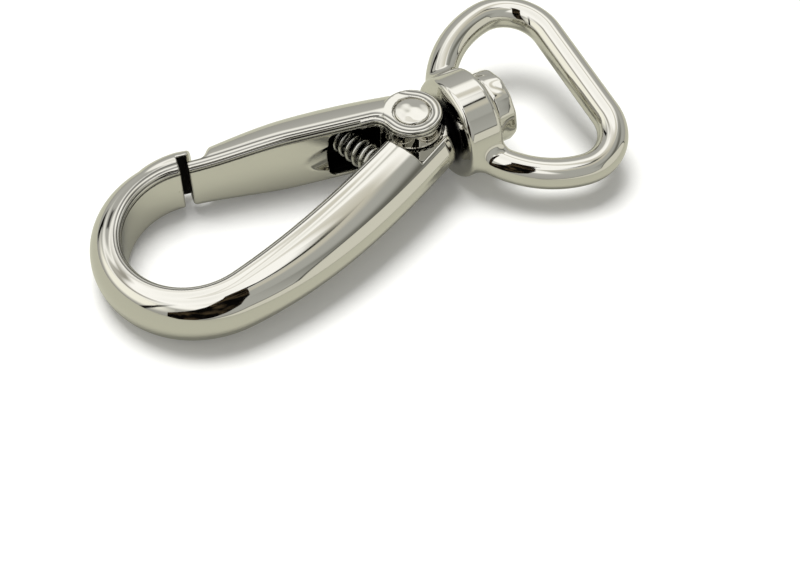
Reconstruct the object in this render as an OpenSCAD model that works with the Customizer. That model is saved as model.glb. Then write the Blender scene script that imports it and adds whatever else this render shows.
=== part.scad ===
// Swivel snap hook: a cast hook body with a spring gate and a strap loop that
// turns on the body's headed neck. Millimetres, lying flat as on a table.
// Inside each module X runs along the swivel axis from the bow to the strap
// loop, with 0 at the collar's near face, and Y points to the gate's side.

/* [Hook body] */
// Outside diameter of the bow
bow_d = 23.7; // [21:0.1:30]
// Mean inside diameter of the bow
bow_bore = 15.3; // [12:0.1:16]
// How much the bore's longest radius is over its mean radius
bore_oval = 0.35; // [0:0.05:0.6]
// How far the bore's centre lies beyond the bow's, away from the swivel
bore_back = 0.65; // [0:0.05:1.2]
// How far the bore's centre lies from the bow's, towards the gate
bore_side = 0.35; // [0:0.05:0.6]
// Distance from the swivel collar back to the centre of the bow
bow_x = 31.4; // [28:0.2:42]
// How far the bow's centre lies to the spine's side of the swivel axis
bow_y = 1.2; // [0:0.1:2]
// Thickness of the body, from face to face
body_h = 6.6; // [5.6:0.1:7.6]
// Angle of the spine to the swivel axis where it meets the shoulder
spine_angle = 25; // [20:1:28]
// Half width of the shoulder on the spine's side
shoulder_out = 4.0; // [3.6:0.1:5]
// Half width of the shoulder on the gate's side
shoulder_in = 3.1; // [2.8:0.1:3.6]
// Radius of the edges along the inner wall
inner_edge = 0.9; // [0.5:0.1:1.1]
// Angle round the bow at which the nose's lip ends
nose_angle = 69; // [66:0.5:71]
// Angle round the bow at which the nose's face meets the inner wall
face_angle = 73; // [71:0.5:77]

/* [Gate] */
// Distance of the gate's pivot from the swivel collar
pivot_x = 3.9; // [3.7:0.1:5]
// Distance of the gate's pivot from the swivel axis, on the gate's side
pivot_y = 0.9; // [0.4:0.1:1.4]
// Height of the gate from the spring pocket to the ears
gate_h = 8.6; // [8:0.1:9.6]
// Height of the gate at its tip
tip_h = 6.6; // [6:0.1:7.4]
// Greatest width of the gate
gate_w = 5.8; // [5.5:0.1:6.4]
// Width of the gate's tip, under the nose's lip
tip_w = 2.6; // [2:0.1:3]
// Radius of the ears that turn on the rivet
ear_r = 3.5; // [3.3:0.1:3.6]
// Length of the pocket for the spring
pocket_l = 6.05; // [5.5:0.05:7]
// Gap between the gate's tip and the nose
nose_gap = 0.9; // [0.4:0.1:1.4]

/* [Lug and rivet] */
// Thickness of the lug between the ears
lug_t = 3.2; // [2.8:0.1:3.6]
// Radius of the lug
lug_r = 3.2; // [2.8:0.1:3.3]
// Diameter of the rivet's shank
shank_d = 2.2; // [1.8:0.1:2.6]
// Diameter of the rivet's head
head_d = 4.0; // [3.4:0.1:4.2]
// Depth of the counterbore for each head
head_sink = 0.6; // [0.4:0.1:0.9]
// Radial running clearance of the rivet in the lug
pivot_fit = 0.05; // [0.02:0.01:0.1]
// Clearance between the lug and each ear
ear_fit = 0.1; // [0.05:0.01:0.15]

/* [Spring] */
// Outside diameter of the gate spring
coil_d = 3.4; // [3:0.1:3.6]
// Diameter of the spring's wire
wire_d = 0.55; // [0.4:0.05:0.6]
// Number of turns
turns = 6; // [5:0.5:7]

/* [Swivel] */
// Outside diameter of the collar
collar_d = 12.0; // [10:0.1:12.6]
// Length of the collar along the swivel axis
collar_l = 4.35; // [3.8:0.05:5]
// Diameter of the neck that the collar turns on
neck_d = 4.8; // [4:0.1:5]
// Diameter of the upset head that keeps the collar on
stud_d = 8.8; // [7.4:0.1:9.2]
// Length of the upset head
stud_l = 2.6; // [1.8:0.1:3]
// Gap between the shoulder and the collar
shoulder_gap = 0.6; // [0.4:0.1:0.9]
// Gap between the collar and the upset head
stud_gap = 0.45; // [0.2:0.05:0.6]
// Radial running clearance of the neck in the collar
swivel_fit = 0.08; // [0.04:0.01:0.1]

/* [Strap loop] */
// Width of the strap that fits through the loop
strap_w = 20; // [19:0.5:26]
// Distance from the collar's near face to the middle of the bar
loop_l = 18.2; // [17:0.1:22]
// Diameter of the loop's round bar
bar_d = 3.6; // [3:0.1:4]
// Radius of the loop's two corners
corner_r = 5.5; // [4:0.1:6.5]
// Angle of each arm to the swivel axis where its corner ends
arm_angle = 9.4; // [4:0.2:14]
// How far the loop is turned on the swivel as it lies
loop_turn = 12; // [0:1:15]

/* [Hidden] */
nickel = "#c8c5bb";
rivet_nickel = "#b9b6ad";
spring_steel = "#a9aaa8";
$fn = 48;

// The outer curve of the body: a circle round the bow, then one smooth sweep
// along the spine to the shoulder
bow_c = [-bow_x, -bow_y];
bow_r = bow_d / 2;
crown = 1.2;
end_round = 1.0;
spine_end = -shoulder_gap - end_round;
// The inner curve: the bore's oval, then the spine's inner wall
bore_r = bow_bore / 2;
bore_c = bow_c + [-bore_back, bore_side];
bore_slant = 43;
bore_turn = 7;
function heading(a) = [cos(a), sin(a)];
function bore_at(a) = bore_c + (bore_r + bore_oval * cos(2 * (a - bore_slant))) * heading(a);
wall_start = bore_turn + atan(2 * bore_oval * sin(2 * (bore_turn + 270 - bore_slant)) / bore_r);
function sweep_between(p, a, q, b, t) =
    let (k = norm(q - p) / 3, p1 = p + k * heading(a), q1 = q - k * heading(b))
    p * pow(1 - t, 3) + 3 * p1 * t * pow(1 - t, 2) + 3 * q1 * t * t * (1 - t) + q * pow(t, 3);
spine_out_0 = bow_c + [0, -bow_r];
spine_out_1 = [spine_end, -shoulder_out - end_round * tan(spine_angle)];
spine_in_0 = bore_at(270 + bore_turn);
spine_in_1 = [spine_end, shoulder_in - end_round * tan(spine_angle)];

// The gate's own axes: s runs from the pivot to the tip, n points outwards
pivot = [-pivot_x, pivot_y];
nose_in = bore_at(face_angle);
gate_run = norm(nose_in - pivot);
gate_turn = atan2(nose_in.y - pivot.y, nose_in.x - pivot.x);
gate_l = gate_run - nose_gap;
tip_flat = 1.5;
tip_ramp = 1.6;
lip_fit = 0.2;
height_ramp = 12;
pocket_s0 = ear_r + 0.2;
pocket_s1 = pocket_s0 + pocket_l;
pocket_wall = 2.2;
pocket_cheek = 1.0;
pocket_corner = 0.9;
slot_half = lug_t / 2 + ear_fit;
rabbet = 4.2;
rabbet_half = lug_t / 2;
cheek_fillet = 1.2;
wall_clear = 0.35;
ear_clear = 0.2;

// The spring's axis runs from the pocket's floor to its seat on the spine's
// inner wall. Its length is less by what its two slanting ends take up.
spring_angle = 105;
spring_clear = 0.1;
pocket_depth = gate_w - pocket_wall;
floor_slant = spring_angle - gate_turn + 90;
wall_slant = spine_angle + 90 - spring_angle;
spring_s = pocket_s1 - coil_d / 2 * cos(floor_slant);
spring_top = pivot + spring_s * heading(gate_turn) + pocket_depth * heading(gate_turn - 90);
function on_wall(f) = sweep_between(spine_in_0, wall_start, spine_in_1, spine_angle, f);
function seat_place(low, high, halvings) =
    let (f = (low + high) / 2, off = heading(spring_angle - 90) * (on_wall(f) - spring_top))
    halvings == 0 ? f : off > 0 ? seat_place(low, f, halvings - 1) : seat_place(f, high, halvings - 1);
spring_seat = on_wall(seat_place(0, 1, 16));
spring_start = spring_clear + coil_d / 2 * tan(abs(wall_slant));
spring_l = norm(spring_top - spring_seat) - spring_start
    - spring_clear - coil_d / 2 * tan(abs(floor_slant));

// Where the loop's arms grow out of the collar
arm_root = [2.0, 4.1];
collar_bevel = 0.6;
loop_y = (strap_w + bar_d) / 2;
bar_half = loop_y - corner_r;
corner_c = [loop_l - corner_r, bar_half];
arm_start = corner_c + corner_r * [-sin(arm_angle), cos(arm_angle)];
arm_dir = -heading(arm_angle);
arm_span = arm_root - arm_start;
arm_r = arm_span * arm_span / (2 * (arm_dir.x * arm_span.y - arm_dir.y * arm_span.x));
arm_c = arm_start + arm_r * [-arm_dir.y, arm_dir.x];
root_angle = atan2(arm_root.y - arm_c.y, arm_root.x - arm_c.x);
arm_begin = arm_angle + 90;

// A D-shaped section: a flat inner wall with round edges at 0, a crown above
// and below, and a full round outer side at w
round_steps = 14;
edge_steps = 4;
function d_section(w, h) =
    let (e = inner_edge, peak = max(min(crown, w / 3), e))
    concat(
        [for (i = [0 : round_steps]) let (a = 180 * i / round_steps)
            [peak + (w - peak) * sin(a), h / 2 * cos(a)]],
        [for (i = [0 : edge_steps]) let (a = 90 * i / edge_steps)
            [e - e * sin(a), -h / 2 + e - e * cos(a)]],
        [for (i = [0 : edge_steps]) let (a = 90 * i / edge_steps)
            [e - e * cos(a), h / 2 - e + e * sin(a)]]);
function ring(inner, outer, h, inset = 0) =
    let (across = outer - inner, w = norm(across), d = across / w)
    [for (p = d_section(w - 2 * inset, h - 2 * inset))
        [inner.x + d.x * (p.x + inset), inner.y + d.y * (p.x + inset), p.y]];

// A skin over rings of equally many points, closed by a flat face at each end
module loft(rings) {
    k = len(rings[0]);
    m = len(rings);
    sides = [for (i = [0 : m - 2], j = [0 : k - 1])
        let (a = i * k + j, b = i * k + (j + 1) % k)
            each [[a, a + k, b], [b, a + k, b + k]]];
    caps = [[for (j = [0 : k - 1]) j], [for (j = [k - 1 : -1 : 0]) (m - 1) * k + j]];
    polyhedron([for (r = rings) each r], concat(sides, caps), convexity = 6);
}

// Bow and spine
bow_steps = 30;
spine_steps = 14;
round_angles = [25, 50, 72];
function bow_ring(f) =
    ring(bore_at(nose_angle + f * (270 + bore_turn - nose_angle)),
         bow_c + bow_r * heading(nose_angle + f * (270 - nose_angle)), body_h);
function spine_ring(f) =
    ring(on_wall(f),
         sweep_between(spine_out_0, 0, spine_out_1, spine_angle, f), body_h);
function end_ring(a) =
    let (run = end_round * sin(a), rise = run * tan(spine_angle))
    ring(spine_in_1 + [run, rise], spine_out_1 + [run, rise], body_h, end_round * (1 - cos(a)));
body_rings = concat(
    [for (i = [0 : bow_steps]) bow_ring(i / bow_steps)],
    [for (i = [1 : spine_steps]) spine_ring(i / spine_steps)],
    [for (a = round_angles) end_ring(a)]);

// The hook rests on its collar and on the bow, which are not equally thick,
// so the swivel axis slopes down towards the bow
foot_x = max([for (r = body_rings) -r[round_steps].x]);
lean = atan((collar_d - body_h) / 2 / (foot_x + collar_bevel));
lift = collar_d / 2 * cos(lean) - collar_bevel * sin(lean);
middle = (loop_l + bar_d / 2 - bow_x - bow_r) / 2 * cos(lean);

module lying()
    translate([-middle, 0, lift])
        rotate([0, -lean, 0])
            children();

module in_gate_axes()
    translate(pivot)
        rotate(gate_turn)
            mirror([0, 1, 0])
                children();

// Everything in the way of the gate's tip is cut back to the nose's face,
// which leaves the lip that stops the gate on the outside
module nose_notch()
    in_gate_axes()
        translate([gate_l - bore_r, -bore_r, -body_h])
            cube([nose_gap + bore_r, bore_r + tip_w + lip_fit, 2 * body_h]);

// A square-cornered step above and below the lug makes room for the ears
module ear_rabbet()
    translate(pivot)
        rotate(spine_angle)
            for (side = [0, 1])
                mirror([0, 0, side])
                    translate([-rabbet, -rabbet, rabbet_half])
                        cube([4 * rabbet, 4 * rabbet, body_h]);

// Room above and below the lug for the ears to turn in
module ear_room()
    for (side = [0, 1])
        mirror([0, 0, side])
            translate([pivot.x, pivot.y, rabbet_half])
                cylinder(h = body_h, r = ear_r + ear_clear);

module lug()
    translate([pivot.x, pivot.y, -lug_t / 2])
        cylinder(h = lug_t, r = lug_r);

module pivot_bore()
    translate([pivot.x, pivot.y, -body_h])
        cylinder(h = 2 * body_h, d = shank_d + 2 * pivot_fit);

// The neck and the head that is upset over the collar, turned about X
module neck() {
    root = 1;
    start = spine_end - root;
    head_x = collar_l + stud_gap;
    edge = 0.5;
    rotate([0, 90, 0]) {
        translate([0, 0, start])
            cylinder(h = head_x + edge - start, d = neck_d);
        rotate_extrude()
            polygon([
                [0, head_x],
                [stud_d / 2 - edge, head_x],
                [stud_d / 2, head_x + edge],
                [stud_d / 2, head_x + stud_l - edge],
                [stud_d / 2 - edge, head_x + stud_l],
                [0, head_x + stud_l],
            ]);
    }
}

module hook_body()
    color(nickel)
        lying()
            difference() {
                union() {
                    difference() {
                        loft(body_rings);
                        nose_notch();
                        ear_rabbet();
                    }
                    lug();
                    neck();
                }
                ear_room();
                pivot_bore();
            }

// Gate width and height at a distance s from the pivot
function ease(x) = let (t = min(max(x, 0), 1)) t * t * (3 - 2 * t);
widest_s = 8.5;
taper = 0.0085;
function flank(s) =
    let (full = gate_w - taper * pow(s - widest_s, 2))
    tip_w + (full - tip_w) * ease((gate_l - tip_flat - s) / tip_ramp);
function gate_height(s) = tip_h + (gate_h - tip_h) * ease((gate_l - s) / height_ramp);
back_s = 2;
back_inset = 0.3;
gate_stations = concat(
    [gate_l, gate_l - tip_flat],
    [for (i = [1 : 4]) gate_l - tip_flat - tip_ramp * i / 4],
    [for (i = [1 : 16]) let (s0 = gate_l - tip_flat - tip_ramp) s0 + (back_s - s0) * i / 16]);
back_angles = [for (i = [1 : 7]) 90 * i / 7];
back_r = flank(back_s);
function gate_ring(s) = ring([s, 0], [s, flank(s)], gate_height(s));
function back_ring(a) =
    let (r = back_r + (ear_r - back_inset - back_r) * ease(a / 90))
    ring([back_s * (1 - a / 90), 0],
         [back_s * (1 - a / 90) - r * sin(a), r * cos(a)], gate_h);
gate_rings = concat(
    [for (s = gate_stations) gate_ring(s)],
    [for (a = back_angles) back_ring(a)]);

// The pocket for the spring, open towards the spine, with round corners
module spring_pocket() {
    height = gate_h - 2 * pocket_cheek;
    length = pocket_s1 - pocket_s0;
    translate([pocket_s0, pocket_depth, 0])
        rotate([90, 0, 0])
            linear_extrude(pocket_depth + 1) {
                translate([0, -height / 2])
                    square([length - pocket_corner, height]);
                translate([0, pocket_corner - height / 2])
                    square([length, height - 2 * pocket_corner]);
                for (side = [-1, 1])
                    translate([length - pocket_corner, side * (height / 2 - pocket_corner)])
                        circle(pocket_corner);
            }
}

// A shallow run-out that leads into the pocket
scoop_r = 3.5;
scoop_l = 2.3;
scoop_low = 0.4;
scoop_tilt = 14;
module scoop()
    translate([pocket_s1 + scoop_l, -scoop_r, -scoop_low])
        rotate([0, -90, -scoop_tilt])
            cylinder(h = 2 * scoop_l, r = scoop_r);

// An ear above and one below the lug, each with a bevelled rim
ear_bevel = 0.5;
module ears()
    for (side = [0, 1])
        mirror([0, 0, side])
            translate([0, 0, slot_half])
                rotate_extrude() {
                    top = gate_h / 2 - slot_half;
                    polygon([
                        [0, 0],
                        [ear_r, 0],
                        [ear_r, top - ear_bevel],
                        [ear_r - ear_bevel / 2, top],
                        [0, top],
                    ]);
                }

// The round corner where each cheek of the pocket runs into its ear
module cheek_fillets() {
    step = 0.15;
    lap = 0.5;
    fillet_s = sqrt(pow(ear_r + cheek_fillet, 2) - pow(cheek_fillet, 2));
    touch = ear_r / (ear_r + cheek_fillet);
    cheek_t = pocket_cheek - step;
    for (side = [0, 1])
        mirror([0, 0, side])
            translate([0, 0, gate_h / 2 - pocket_cheek])
                linear_extrude(cheek_t)
                    difference() {
                        translate([0, -cheek_fillet])
                            square([fillet_s, cheek_fillet + lap]);
                        translate([fillet_s, -cheek_fillet])
                            circle(cheek_fillet);
                        translate([0, -2 * ear_r])
                            square([touch * fillet_s, 2 * ear_r - touch * cheek_fillet]);
                    }
}

// Room between the ears for the lug and the shoulder over the whole swing
module lug_slot() {
    far = 3 * ear_r;
    behind = -0.8 * ear_r;
    beside = 1.4 * ear_r;
    translate([0, 0, -slot_half]) {
        cylinder(h = 2 * slot_half, r = lug_r + wall_clear);
        translate([-far, -far, 0])
            cube([far + behind, 2 * far, 2 * slot_half]);
        translate([-far, -far, 0])
            cube([far + beside, far, 2 * slot_half]);
    }
}

module rivet_holes() {
    groove = 0.15;
    translate([0, 0, -gate_h])
        cylinder(h = 2 * gate_h, d = shank_d);
    for (side = [0, 1])
        mirror([0, 0, side])
            translate([0, 0, gate_h / 2 - head_sink])
                cylinder(h = 2 * head_sink, d = head_d + 2 * groove);
}

module gate()
    color(nickel)
        lying()
            in_gate_axes()
                difference() {
                    union() {
                        difference() {
                            loft(gate_rings);
                            spring_pocket();
                            scoop();
                        }
                        ears();
                        cheek_fillets();
                    }
                    lug_slot();
                    rivet_holes();
                }

// The rivet: a shank with a flat, slightly domed head sunk in each ear
module gate_rivet()
    color(rivet_nickel)
        lying()
            translate(pivot) {
                seat = gate_h / 2 - head_sink;
                rim = 0.3;
                dome = 0.1;
                translate([0, 0, -seat])
                    cylinder(h = 2 * seat, d = shank_d);
                for (side = [0, 1])
                    mirror([0, 0, side])
                        translate([0, 0, seat])
                            rotate_extrude()
                                polygon([
                                    [0, 0],
                                    [head_d / 2, 0],
                                    [head_d / 2, head_sink - 2 * dome],
                                    [head_d / 2 - rim, head_sink],
                                    [0, head_sink + dome],
                                ]);
            }

// The gate spring: a helix whose end turns lie close, swept by a round wire
wire_sides = 8;
turn_steps = 18;
coil_r = (coil_d - wire_d) / 2;
function climb(t) =
    let (dead = wire_d, free = (spring_l - wire_d - 2 * dead) / (turns - 2))
    wire_d / 2 + (t < 1 ? dead * t : t > turns - 1 ? dead + free * (turns - 2) + dead * (t - turns + 1)
        : dead + free * (t - 1));
function wire_ring(t) =
    let (a = 360 * t)
    [for (k = [0 : wire_sides - 1])
        let (b = 360 * k / wire_sides, r = coil_r + wire_d / 2 * cos(b))
        [r * cos(a), r * sin(a), climb(t) - wire_d / 2 * sin(b)]];
module gate_spring()
    color(spring_steel)
        lying()
            translate([spring_seat.x, spring_seat.y, 0])
                rotate([0, 90, spring_angle])
                    translate([0, 0, spring_start])
                        loft([for (i = [0 : turns * turn_steps]) wire_ring(i / turn_steps)]);

// The strap loop is one round bar, bent in a plane: an arm that grows out of
// the collar, a corner, the straight bar, a corner and the other arm
bar_sides = 24;
bend_steps = 8;
function bar_ring(centre, turn) =
    [for (j = [0 : bar_sides - 1])
        let (b = 360 * j / bar_sides, out = bar_d / 2 * sin(b) * heading(turn))
            [centre.x + out.x, centre.y + out.y, bar_d / 2 * cos(b)]];
function bend(centre, r, from, to) =
    [for (i = [0 : bend_steps])
        let (a = from + (to - from) * i / bend_steps)
            bar_ring(centre + r * heading(a), a)];
function from_second(list) = [for (i = [1 : len(list) - 1]) list[i]];
other_side = [[1, 0], [0, -1]];
loop_rings = concat(
    bend(other_side * arm_c, arm_r, -root_angle, -arm_begin),
    from_second(bend(other_side * corner_c, corner_r, -arm_begin, 0)),
    bend(corner_c, corner_r, 0, arm_begin),
    from_second(bend(arm_c, arm_r, arm_begin, root_angle)));

module collar_blank()
    rotate([0, 90, 0])
        rotate_extrude()
            polygon([
                [0, 0],
                [collar_d / 2 - collar_bevel, 0],
                [collar_d / 2, collar_bevel],
                [collar_d / 2, collar_l - collar_bevel],
                [collar_d / 2 - collar_bevel, collar_l],
                [0, collar_l],
            ]);

module swivel_loop()
    color(nickel)
        lying()
            rotate([loop_turn, 0, 0])
                difference() {
                    union() {
                        collar_blank();
                        loft(loop_rings);
                    }
                    translate([-1, 0, 0])
                        rotate([0, 90, 0])
                            cylinder(h = collar_l + 2, d = neck_d + 2 * swivel_fit);
                }

hook_body();
gate();
gate_rivet();
gate_spring();
swivel_loop();
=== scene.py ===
"""Swivel snap hook in polished nickel, lying on a white table.

Sizes are in millimetres along the swivel axis (X from the bow to the strap loop,
Y to the gate's side) until a piece is laid down on the table in metres.
"""

from math import atan, cos, radians, sin

import bpy
import numpy as np
from mathutils import Matrix, Vector


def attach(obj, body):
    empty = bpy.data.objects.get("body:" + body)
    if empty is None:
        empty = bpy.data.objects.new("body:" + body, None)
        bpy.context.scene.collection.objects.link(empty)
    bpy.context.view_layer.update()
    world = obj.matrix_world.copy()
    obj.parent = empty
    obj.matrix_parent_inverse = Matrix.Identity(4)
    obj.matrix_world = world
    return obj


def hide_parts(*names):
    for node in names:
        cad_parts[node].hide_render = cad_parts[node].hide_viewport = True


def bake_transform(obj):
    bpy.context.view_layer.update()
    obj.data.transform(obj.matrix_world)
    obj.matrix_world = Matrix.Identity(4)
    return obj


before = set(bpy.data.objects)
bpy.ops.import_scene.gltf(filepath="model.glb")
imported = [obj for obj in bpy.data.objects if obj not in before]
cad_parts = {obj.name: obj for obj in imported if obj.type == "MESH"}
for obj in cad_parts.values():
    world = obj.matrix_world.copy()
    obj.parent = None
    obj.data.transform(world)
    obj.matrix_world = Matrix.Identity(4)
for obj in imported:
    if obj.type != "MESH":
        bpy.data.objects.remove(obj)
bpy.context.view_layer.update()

# The table
# A white table top under a big soft overhead light in a grey room. Polished
# nickel shows nothing but its surroundings, so the room is part of the finish.

# the hook rests on its collar and on its bow, which is thinner, so it slopes
BODY_HEIGHT = 6.6
COLLAR_RADIUS = 6.0
COLLAR_BEVEL = 0.6
BOW_FOOT = 40.91
LOOP_END, BOW_END = 20.0, 43.25
slope = atan((2 * COLLAR_RADIUS - BODY_HEIGHT) / 2 / (BOW_FOOT + COLLAR_BEVEL))
rise = COLLAR_RADIUS * cos(slope) - COLLAR_BEVEL * sin(slope)
middle = (LOOP_END - BOW_END) / 2 * cos(slope)


def laid_down(points):
    """Millimetres along the swivel axis to metres on the table.

    Turned about Y by the slope, then moved to the middle and up, and divided by 1000.
    """
    x, y, z = np.moveaxis(np.asarray(points, float), -1, 0)
    c, s = cos(slope), sin(slope)
    return np.stack([x * c - z * s - middle, y, x * s + z * c + rise], -1) / 1000


def linear(code):
    """An sRGB hex colour as the linear RGBA that shaders take."""
    srgb = np.array([int(code[i : i + 2], 16) for i in (1, 3, 5)]) / 255
    rgb = np.where(srgb <= 0.04045, srgb / 12.92, ((srgb + 0.055) / 1.055) ** 2.4)
    return (*map(float, rgb), 1.0)


def add(tree, kind, **settings):
    """Adds a node. A setting named after a property sets it, and the rest set or link that input."""
    n = tree.nodes.new("ShaderNode" + kind)
    for key, value in settings.items():
        if hasattr(n, key):
            setattr(n, key, value)
            continue
        numbered = key[0] == "i" and key[1:].isdigit()
        socket = n.inputs[int(key[1:]) if numbered else key.replace("_", " ")]
        if isinstance(value, bpy.types.NodeSocket):
            tree.links.new(value, socket)
        else:
            socket.default_value = value
    return n


scene = bpy.context.scene
scene.view_settings.view_transform = "Standard"

# painted board: seen directly it is white with the hook's soft shadow on it,
# and the nickel shows it as a warm grey, which is its tone darkened by painted shade
floor_material = bpy.data.materials.new("white_table_top")
floor_material.use_nodes = True
t = floor_material.node_tree
t.nodes.clear()
seen = add(t, "LightPath")
diffuse = add(t, "BsdfDiffuse", Color=linear("#f3f3f1"))
# the copy of the board that the metal sees is darker: painted shade
warm_shaded = add(t, "BsdfDiffuse", Color=linear("#bcbcab"))
pick = add(t, "MixShader", i0=seen.outputs["Is Glossy Ray"], i1=diffuse.outputs[0], i2=warm_shaded.outputs[0])
glow = add(t, "Emission", Color=linear("#ffffff"), Strength=0.10)
bright = add(t, "AddShader", i0=pick.outputs[0], i1=glow.outputs[0])
add(t, "OutputMaterial", Surface=bright.outputs[0])

bpy.ops.mesh.primitive_circle_add(vertices=96, radius=0.9, fill_type="NGON")
floor = bpy.context.object
floor.name = "table_top"
floor.data.materials.append(floor_material)

# the room: white for the camera. For the metal it has a white ceiling over
# grey walls, and panels. Directions are taken as the hook lies: degrees round
# to the right, from a line 20 degrees right of straight ahead, and degrees up.
AZIMUTH, ELEVATION, ROLL = radians(30.954), radians(52.167), radians(0.448)
right = np.array([cos(AZIMUTH), -sin(AZIMUTH), 0])
away = np.array([sin(AZIMUTH), cos(AZIMUTH), 0])
up = np.array([0, 0, 1.0])
ROOM_TURN = radians(20)
front = away * cos(ROOM_TURN) + right * sin(ROOM_TURN)
side = right * cos(ROOM_TURN) - away * sin(ROOM_TURN)


def turned_with_hook(v):
    """A direction along the hook as one on the table."""
    return (laid_down(v) - laid_down(np.zeros(3))) * 1000


world = bpy.data.worlds.new("soft_room")
scene.world = world
world.use_nodes = True
t = world.node_tree
t.nodes.clear()
direction = add(t, "TexCoord").outputs["Generated"]
ahead, beside, above = [
    add(t, "VectorMath", operation="DOT_PRODUCT", i0=direction, i1=turned_with_hook(v)).outputs["Value"]
    for v in (front, side, up)
]
bearing = add(t, "Math", operation="ARCTAN2", i0=beside, i1=ahead)
climb = add(t, "Math", operation="ARCSINE", i0=above)
both = add(t, "CombineXYZ", X=bearing.outputs[0], Y=climb.outputs[0])
where = add(t, "VectorMath", operation="SCALE", i0=both.outputs[0], Scale=180 / np.pi)
# the ramp gives the colour by height: table's edge, walls, and the ceiling's start at 42 degrees
level = add(t, "MapRange", Value=climb.outputs[0], i1=-np.pi / 2, i2=np.pi / 2)
ramp_node = add(t, "ValToRGB", Fac=level.outputs[0])
ramp = ramp_node.color_ramp
stops = [(-90, "#a9a89b"), (-1, "#b2b1a4"), (1, "#9a9a95"), (20, "#a2a29f"), (38, "#aaaaa7"),
         (42, "#e2e2de"), (45, "#f8f8f6"), (62, "#ffffff"), (90, "#eeeeec")]
while len(ramp.elements) < len(stops):
    ramp.elements.new(0.5)
for e, (degrees, code) in zip(ramp.elements, stops):
    e.position, e.color = (degrees + 90) / 180, linear(code)


def panel(under, code, middle_at, half_size, slant, soft, rounded):
    """Lays a soft-edged panel over the room.

    The direction is moved to the panel's middle, turned by its slant and divided by its half size.
    Where the larger part of it, or its length for a rounded panel, is under 1, the panel's colour shows.
    """
    near = add(t, "Mapping", vector_type="TEXTURE", Vector=where.outputs[0], Location=(*middle_at, 0),
               Rotation=(0, 0, radians(slant)), Scale=(*half_size, 1))
    if rounded:
        size = add(t, "VectorMath", operation="LENGTH", i0=near.outputs[0]).outputs["Value"]
    else:
        off = add(t, "VectorMath", operation="ABSOLUTE", i0=near.outputs[0])
        part = add(t, "SeparateXYZ", Vector=off.outputs[0])
        size = add(t, "Math", operation="MAXIMUM", i0=part.outputs["X"], i1=part.outputs["Y"]).outputs[0]
    weight = add(t, "MapRange", interpolation_type="SMOOTHSTEP", Value=size, i1=1 + soft, i2=1 - soft)
    return add(t, "MixRGB", i0=weight.outputs[0], i1=under, i2=linear(code)).outputs[0]


# each panel's colour, middle, half size, slant, softness, and whether it is rounded
PANELS = [
    # on the left a cream panel, with a grey ledge over it and a dark post to each side
    ("#f3f2e8", (-125, 28), (48, 17), 0, 0.35, True),
    ("#98968e", (-102, 52), (46, 4.5), 0, 0.8, False),
    ("#141311", (-152, 8), (2.6, 40), 23, 0.5, False),
    ("#0c0c0b", (-67, 20), (3.6, 17), -37, 0.3, False),
    # on the right a grey wall, a dimmer strip of ceiling, a dark rail and the wall's shaded middle
    ("#a3a4a0", (78, 40), (52, 25), 0, 0.10, False),
    ("#c0bdb1", (50, 60.5), (75, 3.0), 0, 0.9, False),
    ("#33332f", (58, 64.5), (24, 1.2), 6, 0.5, False),
    ("#62625c", (62, 37), (26, 6), -8, 0.9, False),
    # below it the near end of the table, in two parts, each with a thin dark edge
    ("#2c2c29", (77, -8), (27, 43), 0, 0.03, True),
    ("#2c2c29", (124, -18), (46, 27), -14, 0.03, False),
    ("#c9c8bd", (77, -8), (25.5, 41.5), 0, 0.03, True),
    ("#c9c8bd", (124, -18), (45, 25.5), -14, 0.05, False),
]
shade = ramp_node.outputs["Color"]
for code, middle_at, half_size, slant, soft, rounded in PANELS:
    shade = panel(shade, code, middle_at, half_size, slant, soft, rounded)

# the metal takes in about a third of the light, so the room it shows is that
# much brighter than its colours. The table top gets less of the room's light
# and more of the softbox's, which gives the hook its soft but clear shadow
seen = add(t, "LightPath")
strength = add(t, "MapRange", Value=seen.outputs["Is Glossy Ray"], i3=0.56, i4=1.48)
lit = add(t, "Background", Color=shade, Strength=strength.outputs["Result"])
white = add(t, "Background", Color=(1, 1, 1, 1), Strength=1.0)
shown = add(t, "MixShader", i0=seen.outputs["Is Camera Ray"], i1=lit.outputs[0], i2=white.outputs[0])
add(t, "OutputWorld", Surface=shown.outputs[0])


# a softbox over the far side of the hook, which only the table sees
SOFTBOX_AT = Vector((-0.03, 0.22, 0.70))
softbox_data = bpy.data.lights.new("overhead_softbox", "AREA")
softbox_data.shape, softbox_data.size, softbox_data.size_y = "RECTANGLE", 0.42, 0.36
softbox_data.energy = 4.95
softbox = bpy.data.objects.new("overhead_softbox", softbox_data)
scene.collection.objects.link(softbox)
softbox.location = SOFTBOX_AT
softbox.rotation_mode = "QUATERNION"
softbox.rotation_quaternion = (-SOFTBOX_AT).to_track_quat("-Z", "Y")
softbox.visible_glossy = False

# a dark card stands between the hook and the camera. Only the metal sees it:
# it gives the bow's rim and the loop's near arm their black accents
flag_material = bpy.data.materials.new("dark_felt_card")
flag_material.use_nodes = True
t = flag_material.node_tree
t.nodes.clear()
# wool felt: almost black, with patches about 26 mm wide worn brown
spot = add(t, "TexCoord")
worn = add(t, "TexNoise", Vector=spot.outputs["Object"], Scale=38.0, Detail=2.0)
brown = add(t, "MapRange", Value=worn.outputs["Fac"], i1=0.45, i2=0.6)
felt = add(t, "MixRGB", i0=brown.outputs[0], i1=linear("#0b0a09"), i2=linear("#4a3f30"))
add(t, "OutputMaterial", Surface=add(t, "BsdfDiffuse", Color=felt.outputs[0]).outputs[0])
FLAG_AT, FLAG_BEARING = np.array([-27.0, -60.0, 4.0]), radians(140)
flag_across = away * cos(FLAG_BEARING + np.pi / 2) + right * sin(FLAG_BEARING + np.pi / 2)
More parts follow.
